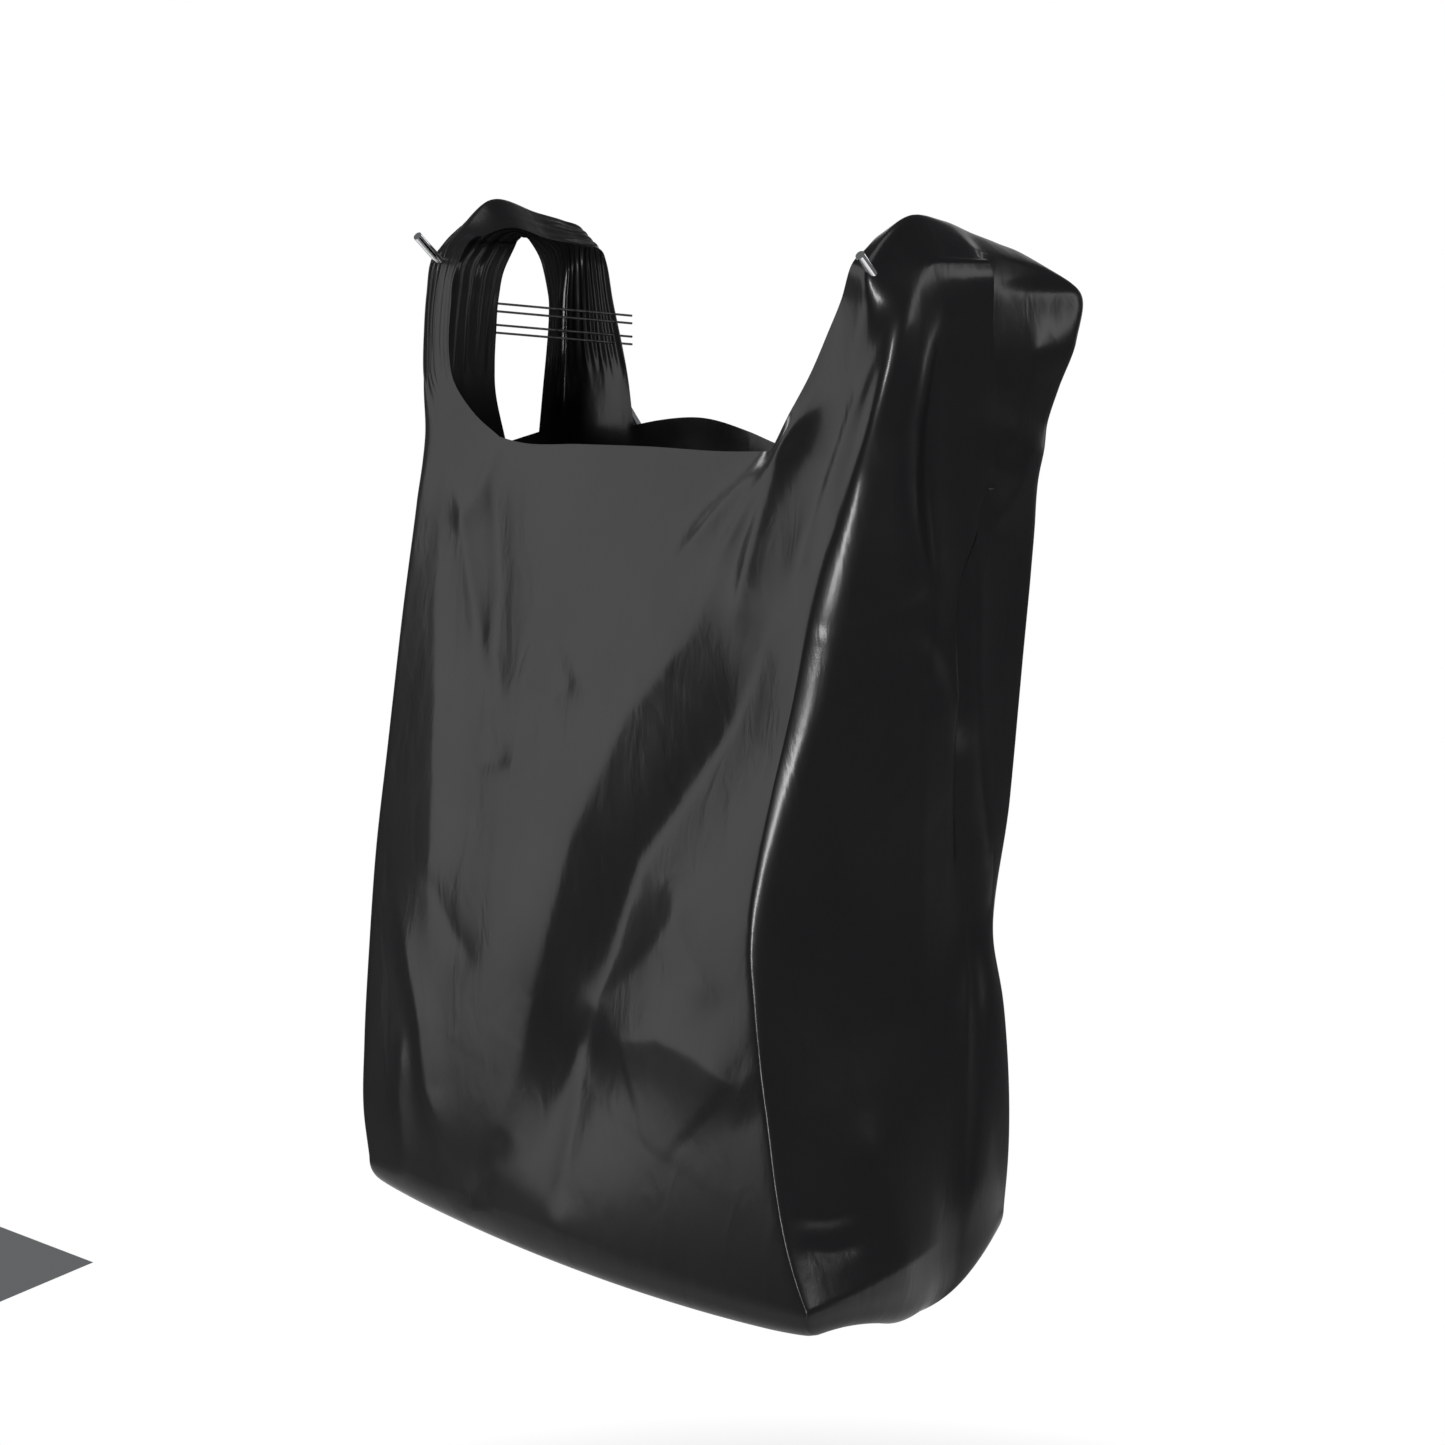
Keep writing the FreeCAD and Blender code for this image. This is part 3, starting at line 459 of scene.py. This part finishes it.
def spread_out(values, quads, share, rounds):
    """Move each point's values towards the mean of its neighbours, by a share and in rounds."""
    count = len(values)
    ways = np.bincount(quads.ravel(), minlength=count)
    here = np.concatenate([quads.ravel(), quads.ravel()])
    near = np.concatenate([np.roll(quads, -1, axis=1).ravel(), np.roll(quads, 1, axis=1).ravel()])
    share = 0.5 * share * (ways == 4)  # free edges stay
    for _ in range(rounds):
        sums = [np.bincount(here, column[near], count) for column in values.T]
        mean = np.stack(sums, axis=1) / (2 * ways[:, None])
        values = values + share[:, None] * (mean - values)
    return values


def smooth_junction(points, quads, height=MOUTH - 4, reach=34):
    """Even out the film near the height where the handles leave the body."""
    share = ease(1 - np.abs(points[:, 2] - height) / reach)
    return spread_out(points, quads, share, rounds=40)


def point_normals(points, quads):
    """Outward normal at each point, weighted by area."""
    a, b, c, d = (points[quads[:, k]] for k in range(4))
    faces = np.cross(c - a, d - b)
    normals = np.zeros_like(points)
    for k in range(4):
        np.add.at(normals, quads[:, k], faces)
    size = np.linalg.norm(normals, axis=1, keepdims=True)
    return normals / np.maximum(size, 1e-9)


# --- folds -----------------------------------------------------------------------------------------


def distance_to_line(where, line):
    """Distance, side and run of each point along a line drawn on a flat map."""
    line = np.array(line, float)
    run = lengths_along(line)
    nearest = np.full(len(where), 1e9)
    side = np.zeros(len(where))
    along = np.zeros(len(where))
    for start, end, begun, length in zip(line[:-1], line[1:], run[:-1], np.diff(run)):
        way = (end - start) / length
        offset = where - start
        reach = np.clip(offset @ way, 0, length)
        gap = offset - reach[:, None] * way
        distance = np.linalg.norm(gap, axis=1)
        closer = distance < nearest
        nearest = np.where(closer, distance, nearest)
        side = np.where(closer, np.sign(way[0] * offset[:, 1] - way[1] * offset[:, 0]), side)
        along = np.where(closer, (begun + reach) / run[-1], along)
    return nearest, side, along


def fold(where, line, height, before, after, fade=0.28):
    """A crease drawn downwards: its height, and how wide its slopes are before (left) and after it."""
    distance, side, along = distance_to_line(where, line)
    width = np.where(side > 0, after, before)
    shape = np.exp(-np.abs(distance / width) ** 1.3)
    ends = ease(along / fade) * ease((1 - along) / fade)
    return height * shape * ends


# Folds of the front: (along X, up) points, height, and the widths of the slopes on both sides.
FRONT_FOLDS = [
    # the broad trough that runs from the right corner of the mouth down to the left
    (
        [(92, 30), (84, -1), (61, -58), (35, -100), (15, -130), (1, -182), (-19, -242), (-45, -310)],
        -12.5, 30, 46,
    ),
    (
        [(74, 67), (60, 25), (36, -20), (5, -60), (-21, -118), (-34, -173), (-51, -251), (-74, -321)],
        2.2, 34, 12,
    ),
    # the tent and the arc under it
    ([(46, -134), (38, -156), (20, -178), (-6, -202), (-24, -226)], 1.8, 9, 26),
    ([(34, -134), (46, -156), (61, -176), (76, -190)], 1.6, 22, 9),
    ([(96, -240), (84, -222), (62, -212), (38, -209), (11, -215), (-12, -234)], 3.0, 24, 24),
    # creases on the left
    ([(-143, -165), (-130, -207), (-119, -237), (-113, -268), (-88, -312)], 1.7, 6, 14),
    ([(-97, 60), (-93, 25), (-87, -10), (-88, -42), (-70, -75)], -1.8, 6, 16),
    ([(-122, 50), (-108, 5), (-96, -30), (-88, -62)], 1.6, 12, 6),
    ([(-62, -46), (-52, -57), (-42, -58), (-26, -44)], -1.1, 10, 16),
    ([(-112, -96), (-90, -98), (-62, -91)], -0.8, 4, 7),
    ([(-122, -150), (-100, -182), (-76, -200)], -1.0, 14, 12),
    ([(-129, 45), (-127, -21), (-122, -71), (-116, -146), (-112, -215)], 2.0, 26, 16),
    # tension lines from the corners of the mouth
    ([(112, 100), (76, 66), (56, 48), (20, 8)], 2.4, 5, 10),
    ([(106, 104), (79, 66), (66, 46), (44, 4)], 1.8, 4, 6),
    ([(98, 110), (82, 66), (73, 40), (60, -20)], 2.4, 5, 10),
    ([(-90, 62), (-98, 44), (-118, 12)], 1.2, 5, 8),
    # small creases near the foot
    ([(-12, -232), (-15, -270), (-20, -318)], -1.5, 5, 10),
    ([(-52, -275), (-70, -308), (-90, -332)], -1.4, 7, 8),
    ([(-132, -235), (-133, -280), (-126, -330)], 1.1, 7, 7),
    # right front strap: the hem line of its cut edge and the two lines that meet at its top
    ([(114, 142), (97, 106), (80, 72)], 1.0, 2.5, 4),
    ([(146, 146), (132, 112), (118, 84), (98, 30)], 1.8, 8, 6),
    ([(126, 112), (108, 66), (96, 30), (90, -10)], -1.8, 9, 9),
]

# Folds of the right side: (distance from the wall, up) points, and the same sizes.
SIDE_FOLDS = [
    ([(-146, 150), (-148, 81), (-138, 39), (-120, 5), (-116, -40)], 6.0, 16, 22),
    ([(-132, 158), (-128, 120), (-126, 80), (-122, 40), (-116, -10), (-112, -60)], -8.0, 12, 15),
    ([(-129, 0), (-107, -31), (-82, -84)], 2.6, 5, 16),
    ([(-128, 2), (-117, -55), (-108, -118), (-102, -190), (-94, -290)], 1.8, 4, 10),
    ([(-92, 44), (-90, 15), (-82, -45), (-69, -106), (-46, -190)], 2.6, 4, 10),
    ([(-164, -40), (-152, -120), (-146, -190), (-150, -270)], -2.4, 20, 24),
    ([(-202, -280), (-180, -287), (-158, -288)], -1.2, 4, 6),
    ([(-204, -294), (-182, -302), (-158, -303)], -1.2, 4, 6),
    ([(-64, -170), (-73, -230), (-80, -290), (-86, -345)], 3.5, 16, 20),
    ([(-152, -240), (-140, -290), (-130, -345)], 2.2, 14, 16),
    ([(-70, 132), (-68, 96), (-80, 56)], 4.0, 18, 24),
    ([(-56, 80), (-66, 50), (-84, 26)], 2.6, 12, 16),
]

FRONT_STARTS = -130  # places from the wall beyond this one can be on the front


def facing(along):
    """How much a surface faces a way, from its normal's length along that way."""
    return ease((along - 0.1) / 0.5)


def add_folds(points, quads, normals):
    """Push the film in and out along the drawn folds, softened where folds meet."""
    x, y, z = points.T
    front = facing(-normals[:, 1]) * ease((FRONT_STARTS - y) / 20)
    side = facing(normals[:, 0]) * (x > 0)
    push = np.zeros(len(points))
    for share, places, folds in ((front, (x, z), FRONT_FOLDS), (side, (y, z), SIDE_FOLDS)):
        near = share > 0
        flat = np.stack(places, axis=1)[near]
        total = np.zeros(len(flat))
        for line, height, before, after in folds:
            total += fold(flat, line, height, before, after)
        push[near] += share[near] * total
    push = spread_out(push[:, None], quads, np.ones(len(points)), rounds=5)
    return points + normals * push


# --- film pieces -----------------------------------------------------------------------------------


def make_mesh(name, points, quads, normals):
    """A smooth mesh object from points in millimetres, with the given normals."""
    mesh = bpy.data.meshes.new(name)
    mesh.from_pydata((points * MM).tolist(), [], quads.tolist())
    mesh.polygons.foreach_set("use_smooth", [True] * len(quads))
    mesh.normals_split_custom_set_from_vertices(normals.tolist())
    made = bpy.data.objects.new(name, mesh)
    bpy.context.scene.collection.objects.link(made)
    return made


def take(points, quads, normals, chosen, name):
    """The chosen quads as their own mesh, with the normals of the whole film."""
    kept = quads[chosen]
    used, renumbered = np.unique(kept, return_inverse=True)
    return make_mesh(name, points[used], renumbered.reshape(kept.shape), normals[used])


HANDLE_RISE = np.array([0.75, 0, 0.66])  # outward and up: the way a handle leaves the body


def make_film(material):
    """The bag as a body that stays and two handles cut off as pieces of their own."""
    points, quads = film_surface()
    points = smooth_junction(points, quads)
    normals = point_normals(points, quads)
    points = add_folds(points, quads, normals)
    normals = point_normals(points, quads)
    centres = points[quads].mean(axis=1)
    in_body = np.ones(len(quads), bool)
    pieces = []
    for side, name, corner in ((LEFT, "left", MOUTH_FRONT[0]), (RIGHT, "right", MOUTH_FRONT[-1])):
        way = HANDLE_RISE * (side, 1, 1)
        foot = np.array([MIDDLE + corner[0], 0, MOUTH])
        beyond = (centres - foot) @ way
        chosen = in_body & (beyond > 0)
        in_body &= ~chosen
        handle = take(points, quads, normals, chosen, f"{name}_handle_film")
        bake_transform(handle)
        straps = [f"{name}_front_strap", f"{name}_back_strap"]
        flaps = [f"{name}_front_flap", f"{name}_back_flap"]
        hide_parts(f"{name}_handle_top", *straps, *flaps)
        pieces.append(handle)
    body = take(points, quads, normals, in_body, "bag_body_film")
    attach(body, "wall_frame")
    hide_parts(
        "bag_front_panel", "bag_bottom_panel", "bag_back_panel", "bag_left_gusset", "bag_right_gusset"
    )
    pieces.append(body)
    for piece in pieces:
        piece.data.materials.append(material)


# --- materials -------------------------------------------------------------------------------------


class Nodes:
    """Small helper that adds nodes to a material and joins them."""

    def __init__(self, name):
        self.material = bpy.data.materials.new(name)
        self.material.use_nodes = True
        self.tree = self.material.node_tree
        self.shader = self.tree.nodes["Principled BSDF"]

    def add(self, kind, **values):
        node = self.tree.nodes.new(kind)
        for key, value in values.items():
            if key in node.inputs:
                node.inputs[key].default_value = value
            else:
                setattr(node, key, value)
        return node

    def join(self, source, target):
        self.tree.links.new(source, target)


def vary_roughness(nodes, noise, smoothest, roughest):
    """Let the roughness follow a noise between two values."""
    gloss = nodes.add("ShaderNodeMapRange")
    gloss.inputs["From Min"].default_value = 0.3
    gloss.inputs["From Max"].default_value = 0.7
    gloss.inputs["To Min"].default_value = smoothest
    gloss.inputs["To Max"].default_value = roughest
    nodes.join(noise.outputs[0], gloss.inputs["Value"])
    nodes.join(gloss.outputs[0], nodes.shader.inputs["Roughness"])


def film_material():
    """Thin black polyethylene: faint upright wrinkles, a fine orange-peel and patchy gloss."""
    nodes = Nodes("black_bag_film")
    shader = nodes.shader
    shader.inputs["Base Color"].default_value = (0.0055, 0.0055, 0.006, 1)
    shader.inputs["Specular IOR Level"].default_value = 0.085
    shader.inputs["Coat Weight"].default_value = 0.24
    shader.inputs["Coat Roughness"].default_value = 0.2
    place = nodes.add("ShaderNodeTexCoord")
    stretched = nodes.add("ShaderNodeMapping", Scale=(1.0, 1.0, 0.35))
    nodes.join(place.outputs["Object"], stretched.inputs["Vector"])
    wrinkles = nodes.add("ShaderNodeTexNoise", Scale=70.0, Detail=3.0, Distortion=0.6)
    peel = nodes.add("ShaderNodeTexNoise", Scale=700.0, Detail=2.0)
    patches = nodes.add("ShaderNodeTexNoise", Scale=22.0, Detail=4.0)
    nodes.join(stretched.outputs[0], wrinkles.inputs["Vector"])
    nodes.join(place.outputs["Object"], peel.inputs["Vector"])
    nodes.join(place.outputs["Object"], patches.inputs["Vector"])
    long_bump = nodes.add("ShaderNodeBump", Strength=0.4, Distance=0.0008)
    fine_bump = nodes.add("ShaderNodeBump", Strength=0.12, Distance=0.0001)
    nodes.join(wrinkles.outputs[0], long_bump.inputs["Height"])
    nodes.join(peel.outputs[0], fine_bump.inputs["Height"])
    nodes.join(long_bump.outputs[0], fine_bump.inputs["Normal"])
    nodes.join(fine_bump.outputs[0], shader.inputs["Normal"])
    nodes.join(fine_bump.outputs[0], shader.inputs["Coat Normal"])
    vary_roughness(nodes, patches, 0.32, 0.42)
    return nodes.material


def worn_material(name, colour, metallic, roughness, grain, depth):
    """A surface whose gloss and height vary with a noise of that grain (per metre) and depth."""
    nodes = Nodes(name)
    shader = nodes.shader
    shader.inputs["Base Color"].default_value = (*colour, 1)
    shader.inputs["Metallic"].default_value = metallic
    place = nodes.add("ShaderNodeTexCoord")
    noise = nodes.add("ShaderNodeTexNoise", Scale=grain, Detail=4.0)
    bump = nodes.add("ShaderNodeBump", Strength=0.3, Distance=depth)
    nodes.join(place.outputs["Object"], noise.inputs["Vector"])
    vary_roughness(nodes, noise, roughness * 0.75, roughness * 1.25)
    nodes.join(noise.outputs[0], bump.inputs["Height"])
    nodes.join(bump.outputs[0], shader.inputs["Normal"])
    return nodes.material


def finish_hardware():
    """Give each CAD piece whose name ends in a listed word the finish listed for that word."""
    chrome = worn_material("bright_chrome", (0.86, 0.87, 0.88), 1.0, 0.12, 300.0, 0.00002)
    plate = worn_material("plated_sheet_steel", (0.6, 0.6, 0.6), 1.0, 0.38, 180.0, 0.0001)
    zinc = worn_material("zinc_plate", (0.72, 0.73, 0.74), 1.0, 0.28, 400.0, 0.00005)
    tie = worn_material("dark_tie_wire", (0.12, 0.12, 0.12), 1.0, 0.35, 500.0, 0.00003)
    cap = worn_material("black_cap_plastic", (0.02, 0.02, 0.02), 0.0, 0.5, 900.0, 0.0001)
    finishes = {
        "arm_wire": chrome,
        "wall_plate": plate,
        "cross_bar": plate,
        "carriage": plate,
        "spacer": zinc,
        "bar_screw": zinc,
        "clamp_bolt": zinc,
        "washer": zinc,
        "wing_nut": zinc,
        "end_cap": cap,
        "tie": tie,
    }
    for name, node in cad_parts.items():
        for ending, material in finishes.items():
            if name.endswith(ending):
                node.data.materials.clear()
                node.data.materials.append(material)


# --- stage -----------------------------------------------------------------------------------------


def seen_directly(nodes):
    """1 where the camera, a mirror or a clear piece looks straight at the surface, else 0."""
    path = nodes.add("ShaderNodeLightPath")
    either = nodes.add("ShaderNodeMath", operation="MAXIMUM")
    any_of_three = nodes.add("ShaderNodeMath", operation="MAXIMUM")
    nodes.join(path.outputs["Is Camera Ray"], either.inputs[0])
    nodes.join(path.outputs["Is Glossy Ray"], either.inputs[1])
    nodes.join(either.outputs[0], any_of_three.inputs[0])
    nodes.join(path.outputs["Is Transmission Ray"], any_of_three.inputs[1])
    return any_of_three.outputs[0]


def white_paper(name, shadow_start, shadow_end, shadow_share):
    """Pale paper that is seen as clean white, and near its middle still takes the object's shadow."""
    nodes = Nodes(name)
    nodes.shader.inputs["Base Color"].default_value = (0.6, 0.6, 0.6, 1)
    nodes.shader.inputs["Roughness"].default_value = 0.9
    nodes.shader.inputs["Specular IOR Level"].default_value = 0.0
    glow = nodes.add("ShaderNodeEmission", Strength=1.0)
    mix = nodes.add("ShaderNodeMixShader")
    place = nodes.add("ShaderNodeTexCoord")
    distance = nodes.add("ShaderNodeVectorMath", operation="LENGTH")
    cleared = nodes.add("ShaderNodeMapRange")
    cleared.inputs["From Min"].default_value = shadow_start
    cleared.inputs["From Max"].default_value = shadow_end
    cleared.inputs["To Min"].default_value = 1 - shadow_share
    cleared.inputs["To Max"].default_value = 1.0
    share = nodes.add("ShaderNodeMath", operation="MULTIPLY")
    nodes.join(place.outputs["Object"], distance.inputs[0])
    nodes.join(distance.outputs["Value"], cleared.inputs["Value"])
    nodes.join(seen_directly(nodes), share.inputs[0])
    nodes.join(cleared.outputs[0], share.inputs[1])
    nodes.join(share.outputs[0], mix.inputs[0])
    nodes.join(nodes.shader.outputs[0], mix.inputs[1])
    nodes.join(glow.outputs[0], mix.inputs[2])
    nodes.join(mix.outputs[0], nodes.tree.nodes["Material Output"].inputs["Surface"])
    return nodes.material


def studio_world():
    """Dim neutral surroundings; the backdrop is what the camera sees behind the bag."""
    world = bpy.data.worlds.new("studio")
    world.use_nodes = True
    dim = world.node_tree.nodes["Background"]
    dim.inputs["Color"].default_value = (0.95, 0.97, 1.0, 1)
    dim.inputs["Strength"].default_value = 0.13
    bpy.context.scene.world = world


def make_sheet(name, centre, along, up, material):
    """A flat rectangle: centre and its two half sides."""
    centre, along, up = Vector(centre), Vector(along), Vector(up)
    points = [-along - up, along - up, along + up, -along + up]
    mesh = bpy.data.meshes.new(name)
    mesh.from_pydata([tuple(p) for p in points], [], [(0, 1, 2, 3)])
    mesh.materials.append(material)
    sheet = bpy.data.objects.new(name, mesh)
    sheet.location = centre
    bpy.context.scene.collection.objects.link(sheet)


def area_light(name, place, aim, width, height, watts):
    """A soft box that faces a point."""
    data = bpy.data.lights.new(name, "AREA")
    data.shape = "RECTANGLE"
    data.size = width
    data.size_y = height
    data.energy = watts
    light = bpy.data.objects.new(name, data)
    light.location = place
    light.rotation_euler = (Vector(aim) - Vector(place)).to_track_quat("-Z", "Y").to_euler()
    bpy.context.scene.collection.objects.link(light)


BAG_CENTRE = Vector((0, -0.12, -0.08))

# Lamps that face the bag: name, place, width and height in metres, and watts.
LAMPS = [
    ("key", (-1.26, -1.87, 0.28), 1.5, 2.2, 35),
    ("ridge", (1.7, -1.5, -0.32), 0.26, 0.8, 44),
    ("top", (0.2, -0.7, 2.3), 2.0, 2.0, 36),
    ("side", (-2.1, -0.6, 0.75), 0.35, 0.5, 13),
    ("rim_high", (1.85, 0.65, 0.5), 0.3, 0.9, 6),
    ("rim", (0.6, 1.9, 0.3), 0.4, 1.3, 3),
]


def make_stage():
    """White paper below and behind the bag, a dim world and the lamps."""
    floor = white_paper("white_floor", shadow_start=0.6, shadow_end=0.88, shadow_share=0.9)
    backdrop = white_paper("white_backdrop", shadow_start=0.0, shadow_end=1.0, shadow_share=0.0)
    make_sheet("floor", (0, 0, -0.95), (1.3, 0, 0), (0, 1.3, 0), floor)
    make_sheet("backdrop", (-2.9, 3.2, -0.7), (2.2, 0, 0), (0, 0, 2.1), backdrop)
    studio_world()
    for name, place, width, height, watts in LAMPS:
        area_light(name, place, BAG_CENTRE, width, height, watts)


def make_camera():
    """The camera at the bag's right front, a little above it."""
    data = bpy.data.cameras.new("camera")
    data.lens = 68.26
    data.sensor_width = 36
    camera = bpy.data.objects.new("camera", data)
    camera.location = (0.8101, -1.1641, 0.229)
    target = Vector((-0.0035, -0.096, -0.081))
    camera.rotation_euler = (target - camera.location).to_track_quat("-Z", "Y").to_euler()
    bpy.context.scene.collection.objects.link(camera)
    bpy.context.scene.camera = camera


make_film(film_material())
finish_hardware()
make_stage()
make_camera()
bpy.context.scene.view_settings.view_transform = "Standard"
